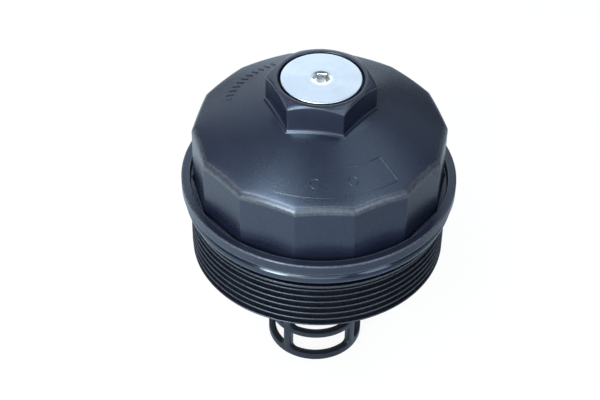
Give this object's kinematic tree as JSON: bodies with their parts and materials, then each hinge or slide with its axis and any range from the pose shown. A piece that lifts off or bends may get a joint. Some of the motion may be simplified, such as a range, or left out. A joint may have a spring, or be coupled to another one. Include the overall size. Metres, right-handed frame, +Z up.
{
  "type": "oil filter housing cap",
  "caption": "Screw-on cap of a cartridge oil filter housing: hexagon head with drain plug, fluted skirt, flange seal, external thread and a clipped-in filter support with bypass valve.",
  "frame": {"origin": "middle of the underside of the filter support's foot ring, on the cap's axis, where the assembly stands", "axes": "+Z up along the cap's axis, from the foot ring to the hexagon; -Y is the side that the picture shows"},
  "size_m": [0.0942, 0.0944, 0.118],
  "materials": {
    "cap_nylon": "black glass-filled nylon, moulded, matt",
    "support_nylon": "black nylon, moulded, matt",
    "valve_nylon": "natural nylon, moulded",
    "seal_rubber": "black, oiled, glossy",
    "plug_aluminium": "turned, fine concentric marks",
    "spring_steel": "drawn spring wire"
  },
  "bodies": {
    "housing_cap": {"cap": "cap_nylon", "main_seal": "seal_rubber", "filter_support": "support_nylon", "spring_retainer": "support_nylon", "bypass_spring": "spring_steel"},
    "plug_seal": {"drain_plug_seal": "seal_rubber"},
    "plug": {"drain_plug": "plug_aluminium"},
    "valve": {"bypass_valve": "valve_nylon", "valve_washer": "seal_rubber"}
  },
  "joints": [
    {"name": "plug_rise", "type": "slide", "parent": "housing_cap", "child": "plug_seal", "axis": [0, 0, 1], "range_m": [0, 0.009]},
    {"name": "plug_turn", "type": "hinge", "parent": "plug_seal", "child": "plug", "pos_m": [0, 0, 0.118], "axis": [0, 0, 1], "range_deg": [0, 2162]},
    {"name": "valve_lift", "type": "slide", "parent": "housing_cap", "child": "valve", "axis": [0, 0, -1], "range_m": [0, 0.004], "stiffness_N_per_m": 100, "springref_m": -0.004, "deforming": ["bypass_spring"]}
  ],
  "couplings": [
    {"joint": "plug_turn", "follows": "plug_rise", "rad_per_m": 4188.8}
  ]
}
